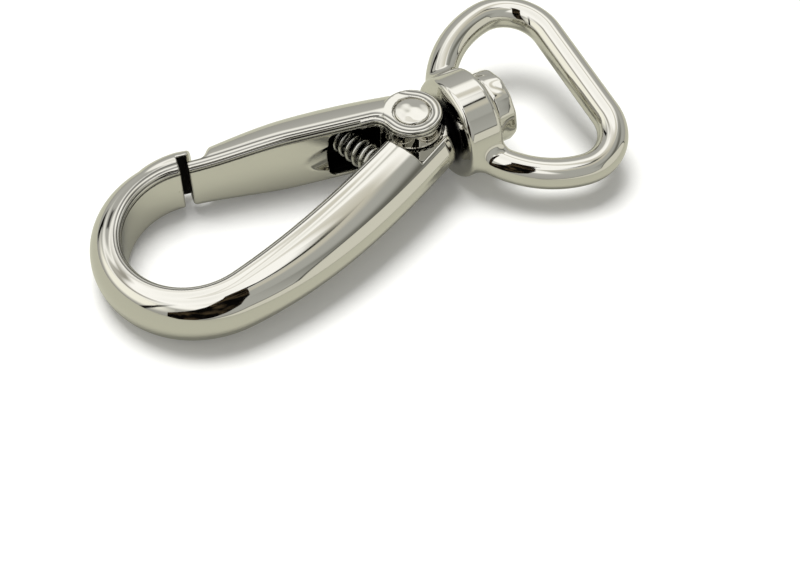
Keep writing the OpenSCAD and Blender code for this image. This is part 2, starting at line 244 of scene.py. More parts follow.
# its outline, in millimetres to the left on the way to it, and up
across = np.array([-66, -50, -38, -20, -5, 10, 26, 46, 78, 120, 120, 78, 46, 26, 10, -5, -20, -38, -54, -68])
height = np.array([172, 152, 112, 54, 26, 14, 5, 0, -2, 4, 40, 48, 56, 68, 96, 132, 190, 214, 212, 196])
corners = FLAG_AT + across[:, None] * flag_across + height[:, None] * up
flag_mesh = bpy.data.meshes.new("flag")
flag_mesh.from_pydata(laid_down(corners).tolist(), [], [list(range(len(corners)))])
flag_mesh.materials.append(flag_material)
flag = bpy.data.objects.new("flag", flag_mesh)
scene.collection.objects.link(flag)
flag.visible_camera = flag.visible_diffuse = flag.visible_shadow = flag.visible_transmission = False

# the camera stands where the photograph's stood: the view was fitted along the
# hook's own axes, and is laid down on the table with it
DISTANCE = 157.897
AIM = np.array([-15.691, -16.472, 0.0])
forward = away * cos(ELEVATION) - up * sin(ELEVATION)
top = away * sin(ELEVATION) + up * cos(ELEVATION)
right, top = right * cos(ROLL) + top * sin(ROLL), -right * sin(ROLL) + top * cos(ROLL)
eye = laid_down(AIM - forward * DISTANCE)
turned = [turned_with_hook(v) for v in (right, top, -forward)]
camera_data = bpy.data.cameras.new("camera")
FOCAL_PIXELS, PICTURE_WIDTH = 1500, 800
camera_data.sensor_width = 36
camera_data.lens = 36 * FOCAL_PIXELS / PICTURE_WIDTH
camera_data.clip_start = 0.005
camera = bpy.data.objects.new("camera", camera_data)
scene.collection.objects.link(camera)
camera.matrix_world = Matrix.Translation(eye) @ Matrix(np.array(turned).T.tolist()).to_4x4()
scene.camera = camera

# The hook body
# One zinc die casting: a D-shaped bar bent into the bow and the spine, with the
# lug for the gate, the neck, and the head that is upset over the collar. Barrel
# polishing has rounded every edge a little before the nickel goes on.

nickel = bpy.data.materials.new("bright_nickel_on_zinc")
nickel.use_nodes = True
t = nickel.node_tree
t.nodes.clear()
# bright nickel plate over polished zinc: a warm grey mirror that the hand
# polishing leaves very slightly wavy, over about 4.5 mm, with a faint uneven
# haze from handling in spots of about 1 mm
place = add(t, "TexCoord")
waves = add(t, "TexNoise", name="waves", Vector=place.outputs["Object"], Scale=220.0, Detail=1.0, Roughness=0.4)
relief = add(t, "Bump", name="relief", Height=waves.outputs["Fac"], Strength=0.10, Distance=0.00005)
# the die leaves fine ridges along the inner edges: each point carries how far
# it lies across the ridged band, from 0 to 1, with a crest at every quarter, so
# they lie about half a millimetre apart. The grooves between them are painted
# dark, as shade, most in the innermost
RIDGES = 4
band = add(t, "Attribute", attribute_name="across_band")
wave = add(t, "Math", operation="MULTIPLY", i0=band.outputs["Fac"], i1=2 * np.pi * RIDGES)
crest = add(t, "Math", operation="COSINE", i0=wave.outputs[0])
groove = add(t, "MapRange", Value=crest.outputs[0], i1=1.0, i2=-1.0)
narrow = add(t, "Math", operation="POWER", i0=groove.outputs[0], i1=2.0)
ridged = add(t, "Bump", Height=narrow.outputs[0], Strength=1.0, Distance=-0.00004,
             Normal=relief.outputs["Normal"])
# the painted shade in the grooves, strongest in the innermost
groove_shade_weight = add(t, "MapRange", Value=band.outputs["Fac"], i1=0.1, i2=0.8, i3=1.0, i4=0.6)
groove_shade = add(t, "Math", operation="MULTIPLY", i0=narrow.outputs[0], i1=groove_shade_weight.outputs["Result"])
haze = add(t, "TexNoise", Vector=place.outputs["Object"], Scale=900.0, Detail=4.0, Roughness=0.6)
rough = add(t, "MapRange", Value=haze.outputs["Fac"], i1=0.35, i2=0.75, i3=0.025, i4=0.07)
# polishing doesn't reach into the gaps and pockets, which stay dull; their dark colour is painted shade
recess = add(t, "Attribute", attribute_name="recess").outputs["Fac"]
# painted shade: the gaps, pockets and ridge grooves are mixed towards near black
painted_shade = add(t, "Math", operation="MAXIMUM", i0=recess, i1=groove_shade.outputs[0])
colour = add(t, "MixRGB", i0=painted_shade.outputs[0], i1=linear("#d3d1ca"), i2=linear("#141312"))
dull = add(t, "MapRange", Value=recess, i3=rough.outputs["Result"], i4=0.5)
plate = add(t, "BsdfPrincipled", Base_Color=colour.outputs["Color"], Metallic=1.0,
            Roughness=dull.outputs["Result"], Normal=ridged.outputs["Normal"])
add(t, "OutputMaterial", Surface=plate.outputs[0])


def heading(degrees):
    """The unit vector in plan at an angle from X."""
    return np.array([cos(radians(degrees)), sin(radians(degrees))])


def round_keep(a, b, r):
    """What lies in both of two distance fields, with their common edge rounded to radius r."""
    return np.minimum(-r, np.maximum(a, b)) + np.hypot(np.maximum(a + r, 0), np.maximum(b + r, 0))


def round_join(a, b, r):
    """What lies in either of two distance fields, with the corner between them filled to radius r."""
    return np.maximum(r, np.minimum(a, b)) - np.hypot(np.maximum(r - a, 0), np.maximum(r - b, 0))


def left_of_sweep(x, y, start, start_angle, end, end_angle):
    """Distance in plan to the left of one cubic sweep.

    The sweep leaves its start and meets its end at given angles. The nearest of many points on it
    is found first, and moved along it by Newton steps. The distance is the way from that point,
    taken across the sweep's direction there.
    """
    third = np.linalg.norm(end - start) / 3
    corners = [start, start + third * heading(start_angle), end - third * heading(end_angle), end]
    a, b, c, d = (corners[0], 3 * (corners[1] - corners[0]), 3 * (corners[0] - 2 * corners[1] + corners[2]),
                  corners[3] - 3 * corners[2] + 3 * corners[1] - corners[0])
    best, nearest = np.full(np.shape(x + y), np.inf), np.zeros(np.shape(x + y))
    for u in np.linspace(0, 1.15, 47):
        px, py = a + u * (b + u * (c + u * d))
        gap = (x - px) ** 2 + (y - py) ** 2
        nearest = np.where(gap < best, u, nearest)
        best = np.minimum(gap, best)
    u = nearest
    for _ in range(3):
        gx, gy = [a[k] + u * (b[k] + u * (c[k] + u * d[k])) - (x, y)[k] for k in (0, 1)]
        vx, vy = [b[k] + u * (2 * c[k] + 3 * u * d[k]) for k in (0, 1)]
        ax, ay = [2 * c[k] + 6 * u * d[k] for k in (0, 1)]
        step = (gx * vx + gy * vy) / np.maximum(vx * vx + vy * vy + gx * ax + gy * ay, 1e-6)
        u = np.clip(u - np.clip(step, -0.05, 0.05), -0.1, 1.2)
    gx, gy = [(x, y)[k] - (a[k] + u * (b[k] + u * (c[k] + u * d[k]))) for k in (0, 1)]
    vx, vy = [b[k] + u * (2 * c[k] + 3 * u * d[k]) for k in (0, 1)]
    return (vx * gy - vy * gx) / np.hypot(vx, vy)


def d_bar(depth, width, z, height, power=2):
    """Distance to a D-shaped bar.

    It is flat for the crown's width next to the inner wall, and from there half an ellipse, or a
    fuller curve of a higher power, round the outer side.
    """
    crown = np.clip(width / 3, INNER_EDGE, CROWN)
    reach = width - crown
    a, b = np.maximum(depth - crown, 0) / reach, np.abs(z) / (height / 2)
    size = np.maximum((a**power + b**power) ** (1 / power), 1e-3)
    steep = np.hypot(a ** (power - 1) / reach, b ** (power - 1) / (height / 2))
    return (size - 1) * size ** (power - 1) / np.maximum(steep, 1e-6)


BOW_CENTRE, BOW_RADIUS = np.array([-31.4, -1.2]), 11.85
SPINE_ANGLE = 25
# the bore is a slightly oval hole, set back towards the bow's end
BORE_CENTRE, BORE_RADIUS = BOW_CENTRE + [-0.65, 0.35], 7.65
BORE_OVAL, BORE_SLANT, BORE_TURN = 0.35, 43, 7
INNER_EDGE, CROWN = 0.9, 1.2
VALLEY_AT, VALLEY_HALF, VALLEY_DEPTH = 1.6, 0.4, 0.09
SHOULDER_X, END_ROUND = -1.6, 1.0
SHOULDER_OUT, SHOULDER_IN = 4.0, 3.1
end_fall = END_ROUND * np.tan(radians(SPINE_ANGLE))
outer_sweep = (BOW_CENTRE + [0, -BOW_RADIUS], 0, np.array([SHOULDER_X, -SHOULDER_OUT - end_fall]), SPINE_ANGLE)


def bore_radius(degrees):
    """The oval's radius: the mean, and a part by the cosine of twice the angle from its long direction."""
    return BORE_RADIUS + BORE_OVAL * np.cos(np.radians(2 * (degrees - BORE_SLANT)))


def on_bore(degrees):
    """The point of the bore's wall in a direction from its centre."""
    return BORE_CENTRE + bore_radius(degrees) * heading(degrees)


lead = np.degrees(np.arctan(2 * BORE_OVAL * sin(radians(2 * (270 + BORE_TURN - BORE_SLANT))) / BORE_RADIUS))
inner_sweep = (on_bore(270 + BORE_TURN), BORE_TURN + lead,
               np.array([SHOULDER_X, SHOULDER_IN - end_fall]), SPINE_ANGLE)
NOSE_ANGLE, FACE_ANGLE, NOSE_GAP, LIP_FIT = 69, 73, 0.9, 0.2
PIVOT = np.array([-3.9, 0.9])
nose_corner = on_bore(FACE_ANGLE)
GATE_RUN = np.linalg.norm(nose_corner - PIVOT)
GATE_HEADING = (nose_corner - PIVOT) / GATE_RUN
GATE_LENGTH = GATE_RUN - NOSE_GAP
TIP_WIDTH = 2.0
LUG_RADIUS, LUG_HALF, STEP_REACH, EAR_RADIUS, EAR_CLEAR = 3.2, 1.6, 4.2, 3.5, 0.2
SHANK_RADIUS, PIVOT_FIT = 1.1, 0.05
NECK_RADIUS, HEAD_RADIUS, HEAD_NEAR, HEAD_LENGTH = 2.4, 4.4, 4.8, 2.6


def along_gate(x, y):
    """Distances s from the pivot towards the gate's tip, and n outwards from the gate's inner face."""
    dx, dy = x - PIVOT[0], y - PIVOT[1]
    return dx * GATE_HEADING[0] + dy * GATE_HEADING[1], dx * GATE_HEADING[1] - dy * GATE_HEADING[0]


# the section is fuller than an ellipse at the nose, and fades to one round the bow
NOSE_FULL, FULL_FROM, FULL_TO, FULL_FADE = 1.4, 45, 98, 24
NOTCH_ROUND, STEP_ROUND, LUG_ROUND, HEAD_ROUND, EAR_ROUND = 0.22, 0.35, 0.15, 0.5, 0.12
NECK_MIDDLE, NECK_HALF, NECK_FILLET, HEAD_FILLET = 1.4, 4.0, 0.3, 0.2
# the head is struck cold, so it is a little lumpy and off the neck's middle
DENT, HEAD_Y, HEAD_Z, HEAD_LESS = 0.07, 0.2, 0.3, 0.15


def from_bore(x, y):
    """The angle round the bore's centre, whether the sweep is the wall there, and the way out from the wall."""
    ang = np.degrees(np.arctan2(y - BORE_CENTRE[1], x - BORE_CENTRE[0]))
    straight = (ang > BORE_TURN - 90) & (ang < 30)
    return ang, straight, np.where(straight, -left_of_sweep(x, y, *inner_sweep),
                                   np.hypot(x - BORE_CENTRE[0], y - BORE_CENTRE[1]) - bore_radius(ang))


def hook_casting(x, y, z):
    """Distance to the hook body.

    The D bar between the inner and the outer curve is cut to the nose's lip and the step for the
    gate's ears, and joined to the lug, the neck and the head. The rivet's hole is taken out last.
    """
    ang = np.degrees(np.arctan2(y - BOW_CENTRE[1], x - BOW_CENTRE[0]))
    outer = np.where((ang > -90) & (ang < 30), left_of_sweep(x, y, *outer_sweep),
                     BOW_RADIUS - np.hypot(x - BOW_CENTRE[0], y - BOW_CENTRE[1]))
    ang, _, inner = from_bore(x, y)
    at_nose = (ang > FULL_FROM) & (ang < FULL_TO)
    full = 2 + NOSE_FULL * np.where(at_nose, np.clip((FULL_TO - ang) / FULL_FADE, 0, 1), 0)
    bar = round_keep(d_bar(inner, inner + outer, z, BODY_HEIGHT, full), -inner, INNER_EDGE)
    # a shallow valley runs along the crown, just outside the ridged band
    bar = bar + VALLEY_DEPTH * np.exp(-((inner - VALLEY_AT) / VALLEY_HALF) ** 2) * (np.abs(z) > 2)
    bar = round_keep(bar, x - SHOULDER_X - END_ROUND, END_ROUND)
    s, n = along_gate(x, y)
    notch = np.maximum(np.maximum(s - GATE_RUN, n - TIP_WIDTH - LIP_FIT),
                       np.maximum(GATE_LENGTH - BORE_RADIUS - s, -n - BORE_RADIUS))
    bar = round_keep(bar, -notch, NOTCH_ROUND)
    near, far = on_bore(NOSE_ANGLE), BOW_CENTRE + BOW_RADIUS * heading(NOSE_ANGLE)
    across = (far - near) / np.linalg.norm(far - near)
    past_lip = np.maximum(across[0] * (y - near[1]) - across[1] * (x - near[0]), 3 - y)
    bar = round_keep(bar, -past_lip, STEP_ROUND)
    dx, dy = x - PIVOT[0], y - PIVOT[1]
    c, d = heading(SPINE_ANGLE)
    over = LUG_HALF - np.abs(z)
    step = np.maximum(np.maximum(-STEP_REACH - dx * c - dy * d, -STEP_REACH + dx * d - dy * c), over)
    bar = round_keep(bar, -step, STEP_ROUND)
    r = np.hypot(dx, dy)
    lug = round_keep(r - LUG_RADIUS, -over, LUG_ROUND)
    neck = round_keep(np.hypot(y, z) - NECK_RADIUS, np.abs(x - NECK_MIDDLE) - NECK_HALF, 0.1)
    dents = DENT * np.sin(2.3 * y + 1.1 * x) * np.sin(2.0 * z - 0.7 * x + 0.8)
    faces_off = np.abs(x - HEAD_NEAR - HEAD_LENGTH / 2) - HEAD_LENGTH / 2 + 0.03 + 0.4 * dents
    head = round_keep(np.hypot(y - HEAD_Y, z - HEAD_Z) - HEAD_RADIUS + HEAD_LESS + dents, faces_off, HEAD_ROUND)
    whole = round_join(np.minimum(round_join(bar, neck, NECK_FILLET), lug), head, HEAD_FILLET)
    whole = round_keep(whole, -np.maximum(r - EAR_RADIUS - EAR_CLEAR, over), EAR_ROUND)
    return np.maximum(whole, SHANK_RADIUS + PIVOT_FIT - r)


BAND_NARROW, BAND_MORE, BAND_FADE = 0.9, 0.7, 90


def hook_band(x, y, z):
    """How far across the ridged band a point lies, from 0 to 1.

    From the inner wall's edge, up and outwards, over the band's width, which narrows from the nose
    to the bow's far side. On the underside the band starts a quarter later.
    """
    ang, straight, inner = from_bore(x, y)
    wider = np.where(straight, 0, BAND_MORE * np.clip(1 - (ang % 360 - FACE_ANGLE) / BAND_FADE, 0, 1))
    width = BAND_NARROW + wider
    across = (inner - BODY_HEIGHT / 2 + np.abs(z) + INNER_EDGE) / (INNER_EDGE + width)
    across = np.where(z < 0, across * 4 / 3 - 1 / 3, across)
    plain = (inner > width) | (np.hypot(x - PIVOT[0], y - PIVOT[1]) < STEP_REACH)
    return np.where(plain, 1, np.clip(across, 0, 1))


def hook_recess(x, y, z):
    """Painted shade and dull finish: 1 in the gap under the nose's lip, on the neck and on the shoulder's end,
    and 0 elsewhere.
    """
    s, n = along_gate(x, y)
    under_lip = (s > GATE_LENGTH - 1) & (s < GATE_RUN + 0.05) & (y > 3)
    under_lip &= (n > 0.4) & (n < TIP_WIDTH + LIP_FIT + 0.03)
    at_neck = (x > SHOULDER_X + END_ROUND - 0.12) & (x < HEAD_NEAR - 0.2)
    return (under_lip | at_neck).astype(float)


def slopes(field, p, reach=1e-3):
    """A field's value and gradient at points, from its values a thousandth of a millimetre to each side."""
    g = np.stack([(field(*(p + e).T) - field(*(p - e).T)) / (2 * reach) for e in np.eye(3) * reach], -1)
    return field(*p.T), g


def skin_of(field, low, high, step):
    """The closed skin where a distance field is zero.

    The field is worked out on a grid. Each cell that the surface crosses gets one point, the mean
    of the crossings on its edges, and each crossed edge one four-sided face between its four
    cells. The points are then moved down the field's gradient onto the surface, and evened out
    along it. Returns points, faces and the gradient at each point as its normal.
    """
    axes = [np.arange(a, b + step, step) for a, b in zip(low, high)]
    f = field(*np.meshgrid(*axes, indexing="ij", sparse=True))
    f = np.array(np.broadcast_to(f, [len(a) for a in axes]))
    cells = np.array(f.shape)
    total, hits, faces = np.zeros((cells.prod(), 3)), np.zeros(cells.prod()), []
    for axis in range(3):
        u, v = (axis + 1) % 3, (axis + 2) % 3
        a, b = np.moveaxis(f, axis, 0)[:-1], np.moveaxis(f, axis, 0)[1:]
        at = np.argwhere((a < 0) != (b < 0))
        fa, fb = a[tuple(at.T)], b[tuple(at.T)]
        rest = [k for k in range(3) if k != axis]
        index = np.zeros((len(at), 3), int)
        index[:, axis], index[:, rest[0]], index[:, rest[1]] = at.T
        place = index.astype(float)
        place[:, axis] += fa / (fa - fb)
        around = []
        for du, dv in ((1, 1), (0, 1), (0, 0), (1, 0)):
            cell = index.copy()
            cell[:, u] -= du
            cell[:, v] -= dv
            flat = np.ravel_multi_index(cell.T, f.shape)
            hits += np.bincount(flat, minlength=len(hits))
            for k in range(3):
                total[:, k] += np.bincount(flat, place[:, k], len(hits))
            around.append(flat)
        quad = np.stack(around, -1)
        faces.append(np.where((fa < 0)[:, None], quad, quad[:, ::-1]))
    used = np.flatnonzero(hits)
    number = np.zeros(len(hits), int)
    number[used] = np.arange(len(used))
    p = np.array(low) + step * total[used] / hits[used, None]
    faces = number[np.concatenate(faces)]
    pairs = np.concatenate([faces[:, [k, (k + 1) % 4]] for k in range(4)])
    count = np.bincount(pairs[:, 0], minlength=len(p))[:, None]
    for evening in (0.6, 0.6, 0.5, 0.0, 0.0):
        value, g = slopes(field, p)
        move = value[:, None] * g / np.maximum((g * g).sum(1), 0.05)[:, None]
        p = p - np.clip(move, -step / 2, step / 2)
        if evening:
            mean = np.stack([np.bincount(pairs[:, 0], p[pairs[:, 1], k], len(p)) for k in range(3)], -1) / count
            g /= np.linalg.norm(g, axis=1)[:, None]
            pull = mean - p
            p = p + evening * (pull - g * (pull * g).sum(1)[:, None])
    _, g = slopes(field, p)
    return p, faces, g / np.linalg.norm(g, axis=1)[:, None]


def piece_from(name, points, faces, material, normals=None, **marks):
    """One smooth-shaded mesh laid down on the table, with a value at each point for each mark.

    Its normals, where they are given, are turned as its points are.
    """
    mesh = bpy.data.meshes.new(name)
    mesh.from_pydata(laid_down(points).tolist(), [], faces if isinstance(faces, list) else faces.tolist())
    mesh.polygons.foreach_set("use_smooth", np.ones(len(mesh.polygons), bool))
    if normals is not None:
        mesh.normals_split_custom_set_from_vertices(turned_with_hook(normals).tolist())
    for mark, of_point in marks.items():
        values = of_point(*points.T).astype(np.float32)
        mesh.attributes.new(mark, "FLOAT", "POINT").data.foreach_set("value", values)
    mesh.materials.append(material)
    piece = bpy.data.objects.new(name, mesh)
    scene.collection.objects.link(piece)
    return piece


GRID = 0.15
points, faces, normals = skin_of(hook_casting, (-43.6, -13.4, -4.5), (7.7, 11.4, 4.5), GRID)
hook_piece = piece_from("hook_casting", points, faces, nickel, normals,
                        across_band=hook_band, recess=hook_recess)
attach(hook_piece, "hook")
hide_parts("hook_body")


# The gate
# The gate is a second zinc casting. It is narrow at the tip, swells to a full
# round back, holds the spring in a pocket in its inner face, and turns on the
# lug between two ears.

GATE_HEIGHT, TIP_HEIGHT, GATE_WIDTH = 8.6, 6.6, 5.8
TIP_FLAT, TIP_RAMP, TIP_CORNER, HEIGHT_RAMP, WIDEST, TAPER = 1.5, 1.6, 0.9, 12, 8.5, 0.0085
POCKET_NEAR, POCKET_DEPTH = EAR_RADIUS + 0.2, GATE_WIDTH - 2.2
POCKET_FAR = POCKET_NEAR + 6.05
POCKET_CHEEK, POCKET_CORNER, CHEEK_FILLET = 1.0, 0.9, 1.2
SLOT_HALF, WALL_CLEAR, RIVET_HEAD, HEAD_SINK, GROOVE = 1.7, 0.35, 2.0, 0.6, 0.15
SCOOP_RADIUS, SCOOP_LENGTH, SCOOP_LOW, SCOOP_TILT = 3.5, 2.3, 0.4, 14


def ease(x):
    """0 to 1 with no corner at either end: three times the square less twice the cube."""
    x = np.clip(x, 0, 1)
    return x * x * (3 - 2 * x)


def gate_height(s):
    """The height at a distance from the pivot: the tip's, eased to the full height."""
    return TIP_HEIGHT + (GATE_HEIGHT - TIP_HEIGHT) * ease((GATE_LENGTH - s) / HEIGHT_RAMP)


# the back closes round the pivot from CLOSE_AT on, where the bar is CLOSE_WIDTH wide
CLOSE_AT, CLOSE_WIDTH, CLOSE_REACH = 2, 5.44, 5.2
SLOT_BACK, SLOT_FRONT = 2.8, 4.9


def gate_casting(x, y, z):
    """Distance to the gate.

    A D bar whose width and height follow the distance from the pivot is closed round the pivot and
    joined to the ears and the web between them. The pocket, its scooped end, the slot for the lug,
    the sinks for the rivet's heads and the rivet's hole are taken out.
    """
    s, n = along_gate(x, y)
    r = np.hypot(s, n)
    full = GATE_WIDTH - TAPER * (np.maximum(s, CLOSE_AT) - WIDEST) ** 2
    width = TIP_WIDTH + (full - TIP_WIDTH) * ease((GATE_LENGTH - TIP_FLAT - s) / TIP_RAMP)
    height = gate_height(s)
    back = np.where(s < CLOSE_AT, np.hypot((CLOSE_AT - s) * CLOSE_WIDTH / CLOSE_REACH, np.maximum(n, 0)), n)
    bar = round_keep(d_bar(back, width, z, height), -n, INNER_EDGE)
    tip = round_keep(s - GATE_LENGTH, -z - height / 2, TIP_CORNER)
    bar = round_keep(bar, tip, 0.3)
    up = np.abs(z)
    pocket = round_keep(round_keep(s - POCKET_FAR, up - GATE_HEIGHT / 2 + POCKET_CHEEK, POCKET_CORNER),
                        POCKET_NEAR - s, 0.1)
    bar = round_keep(bar, -round_keep(pocket, n - POCKET_DEPTH, 0.3), 0.12)
    ct, st = heading(SCOOP_TILT)
    from_axis = (n + SCOOP_RADIUS) * ct + (s - POCKET_FAR - SCOOP_LENGTH) * st
    scoop = np.maximum(np.hypot(from_axis, z + SCOOP_LOW) - SCOOP_RADIUS, 6 - s)
    bar = round_keep(bar, -scoop, 0.08)
    ears = round_keep(r - EAR_RADIUS, up - GATE_HEIGHT / 2, 0.4)
    web = np.maximum(round_join(r - EAR_RADIUS, np.maximum(-n, s - POCKET_FAR), CHEEK_FILLET),
                     np.maximum(n - 0.6, np.abs(s - 3) - 3))
    web = round_keep(web, np.abs(up - GATE_HEIGHT / 2 + 0.7) - 0.55, 0.2)
    whole = np.minimum(np.minimum(bar, ears), web)
    slot = np.minimum(np.minimum(r - LUG_RADIUS - WALL_CLEAR, s + SLOT_BACK), np.maximum(s - SLOT_FRONT, n))
    slot = np.maximum(up - SLOT_HALF, slot)
    whole = round_keep(whole, -slot, 0.15)
    whole = round_keep(whole, -np.maximum(r - RIVET_HEAD - GROOVE, GATE_HEIGHT / 2 - HEAD_SINK - up), 0.12)
    return np.maximum(whole, SHANK_RADIUS - r)


GATE_BAND = 1.3


def gate_band(x, y, z):
    """How far across the ridged band a point lies, from the inner face's edge and the ears' rim."""
    s, n = along_gate(x, y)
    inside = -round_join(np.hypot(s, n) - EAR_RADIUS, np.maximum(-n, -s), CHEEK_FILLET)
    across = (inside - gate_height(s) / 2 + np.abs(z) + INNER_EDGE) / (INNER_EDGE + GATE_BAND)
    across = np.where(z < 0, across * 4 / 3 - 1 / 3, across)
    return np.where(inside > GATE_BAND, 1, np.clip(across, 0, 1))


def gate_recess(x, y, z):
    """Painted shade and dull finish: 1 on the walls of the pocket and the slot, less on the tip's end, and 0
    elsewhere.
    """
    s, n = along_gate(x, y)
    up = np.abs(z)
    in_pocket = (s > 0) & (s < POCKET_FAR + 0.05) & (up < GATE_HEIGHT / 2 - POCKET_CHEEK + 0.05)
    in_pocket &= (n > 0.25) & (n < POCKET_DEPTH + 0.05)
    in_slot = (up < SLOT_HALF + 0.05) & (np.hypot(s, n) < LUG_RADIUS + WALL_CLEAR + 0.05)
    at_tip = (s > GATE_LENGTH - 0.06) & (n > 0.3)
    return np.where(in_pocket | in_slot, 1, 0.72 * at_tip)


points, faces, normals = skin_of(gate_casting, (-30.6, -3.6, -5.0), (0.6, 11.2, 5.0), GRID)
gate_piece = piece_from("gate_casting", points, faces, nickel, normals,
                        across_band=gate_band, recess=gate_recess)
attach(gate_piece, "gate")
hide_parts("gate")


# The rivet
# A steel rivet, plated with the castings and set cold: its flat head is sunk in
# the ear, slightly domed, and left a little uneven by the hammer.

# the same plate over steel that was hammered: the marks are about 1.4 mm wide
rivet_plate = nickel.copy()
rivet_plate.name = "nickel_on_hammered_steel"
t = rivet_plate.node_tree
t.nodes["waves"].inputs["Scale"].default_value = 700
t.nodes["relief"].inputs["Strength"].default_value = 0.5


def turned_round(profile, steps):
    """A profile of (radius, height) pairs carried round the Z axis.

    A grid of angle by profile point, closed at both ends with a fan to a point on the axis.
    """
    profile = np.asarray(profile, float)
    around = np.linspace(0, 2 * np.pi, steps, endpoint=False)[:, None]
    r, h = profile[None, 1:-1, 0], profile[None, 1:-1, 1]
    ring = np.stack([r * np.cos(around), r * np.sin(around), h + 0 * around], -1)
    rows = ring.shape[1]
    points = np.concatenate([ring.reshape(-1, 3), [[0, 0, profile[0, 1]], [0, 0, profile[-1, 1]]]])
    i, j = np.meshgrid(np.arange(steps), np.arange(rows - 1), indexing="ij")
    k = (i + 1) % steps
    walls = np.stack([i * rows + j, k * rows + j, k * rows + j + 1, i * rows + j + 1], -1).reshape(-1, 4)
    i = np.arange(steps)
    k = (i + 1) % steps
    low = np.stack([k * rows, i * rows, i * 0 + len(points) - 2], -1)
    high = np.stack([i * rows + rows - 1, k * rows + rows - 1, i * 0 + len(points) - 1], -1)
    return points, walls.tolist() + low.tolist() + high.tolist()


RIM_ROUND, DOME_RISE, HAMMERED = 0.25, 0.1, 0.02
seat = GATE_HEIGHT / 2 - HEAD_SINK
u = np.linspace(0, np.pi / 2, 9)
rim = [RIVET_HEAD - RIM_ROUND, seat + HEAD_SINK - RIM_ROUND] + RIM_ROUND * np.stack([np.cos(u), np.sin(u)], -1)
v = np.linspace(1, 0, 14)[1:]
dome = np.stack([(RIVET_HEAD - RIM_ROUND) * v, seat + HEAD_SINK + DOME_RISE * (1 - v**2)], -1)
upper = np.concatenate([[[SHANK_RADIUS, seat], [RIVET_HEAD, seat]], rim, dome])
profile = np.concatenate([(upper * [1, -1])[::-1], upper])
points, faces = turned_round(profile, 96)
x, y, z = points.T
inside = np.clip(1 - np.hypot(x, y) / (RIVET_HEAD - 0.2), 0, 0.4) / 0.4
marks = np.sin(2.6 * y + 1.2 * x + 0.6) * np.sin(2.9 * x - 1.1 * y + 0.3)
points[:, 2] += np.sign(z) * inside * HAMMERED * marks
points = points + [*PIVOT, 0]
rivet_piece = piece_from("rivet", points, faces, rivet_plate)
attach(rivet_piece, "gate")
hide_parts("gate_rivet")


# The gate spring
# A small compression spring of bright drawn wire, with closed end turns. It
# pushes between the pocket's floor and the spine's inner wall.

wire = bpy.data.materials.new("bright_drawn_spring_wire")
wire.use_nodes = True
t = wire.node_tree
t.nodes.clear()
# bright drawn spring steel: drawing leaves lines along the wire, about 240
# round it and so finer than 0.01 mm. They only spread the highlight.
along = add(t, "UVMap")
lines = add(t, "Mapping", Vector=along.outputs["UV"], Scale=(2.0, 60.0, 1.0))
drawn = add(t, "TexNoise", Vector=lines.outputs["Vector"], Scale=4.0, Detail=2.0)
relief = add(t, "Bump", Height=drawn.outputs["Fac"], Strength=0.15, Distance=0.00002)
steel = add(t, "BsdfPrincipled", Base_Color=linear("#bdbcb7"), Metallic=1.0, Roughness=0.16,
            Normal=relief.outputs["Normal"])
add(t, "OutputMaterial", Surface=steel.outputs[0])

COIL_RADIUS, WIRE_RADIUS, TURNS = 1.425, 0.275, 6
# the axis runs from the pocket's floor to the spine's inner wall, and each end
# of the spring stands off by a clearance and what its slant takes up
SPRING_ANGLE, SPRING_CLEAR = 105, 0.1
COIL_REACH = COIL_RADIUS + WIRE_RADIUS
FLOOR_SLANT = radians(SPRING_ANGLE + 90) - np.arctan2(GATE_HEADING[1], GATE_HEADING[0])
floor_s = POCKET_FAR - COIL_REACH * cos(FLOOR_SLANT)
outwards = np.array([GATE_HEADING[1], -GATE_HEADING[0]])
spring_floor = PIVOT + floor_s * GATE_HEADING + POCKET_DEPTH * outwards
down_axis = np.linspace(10, 5, 600)
beyond_wall = left_of_sweep(*(spring_floor[:, None] - heading(SPRING_ANGLE)[:, None] * down_axis), *inner_sweep)
SEAT = spring_floor - heading(SPRING_ANGLE) * np.interp(0, beyond_wall, down_axis)
SPRING_START = SPRING_CLEAR + COIL_REACH * np.tan(radians(SPINE_ANGLE + 90 - SPRING_ANGLE))
SPRING_END = SPRING_CLEAR + COIL_REACH * np.tan(FLOOR_SLANT)
SPRING_LENGTH = np.linalg.norm(spring_floor - SEAT) - SPRING_START - SPRING_END
SIDES, STEPS = 16, 48


def coil(turns, length, sides, steps):
    """A wire carried along a helix whose first and last turns lie closed.

    A grid of distance along the wire by angle round it, with a flat face at each end.
    """
    t = np.linspace(0, turns, int(turns * steps) + 1)[:, None]
    dead = 2 * WIRE_RADIUS
    free = (length - 3 * dead) / (turns - 2)
    climb = WIRE_RADIUS + np.where(t < 1, dead * t, np.where(
        t > turns - 1, dead + free * (turns - 2) + dead * (t - turns + 1), dead + free * (t - 1)))
    b = np.linspace(0, 2 * np.pi, sides, endpoint=False)[None, :]
    r, a = COIL_RADIUS + WIRE_RADIUS * np.cos(b), 2 * np.pi * t
    grid = np.stack([r * np.cos(a), r * np.sin(a), climb - WIRE_RADIUS * np.sin(b)], -1)
    rows, n = grid.shape[:2]
    i, j = np.meshgrid(np.arange(rows - 1), np.arange(n), indexing="ij")
    k = (j + 1) % n
    faces = np.stack([i * n + j, (i + 1) * n + j, (i + 1) * n + k, i * n + k], -1).reshape(-1, 4)
    ends = [list(range(n)), list(range((rows - 1) * n, rows * n))[::-1]]
    return grid.reshape(-1, 3), faces.tolist() + ends


points, faces = coil(TURNS, SPRING_LENGTH, SIDES, STEPS)
c, d = heading(SPRING_ANGLE)
lift_off = SPRING_START + points[:, 2]
# turned about Y by 90 degrees, then about Z to the spring's direction
points = np.stack([SEAT[0] + lift_off * c - points[:, 1] * d,
                   SEAT[1] + lift_off * d + points[:, 1] * c, -points[:, 0]], -1)
spring_piece = piece_from("spring", points, faces, wire)
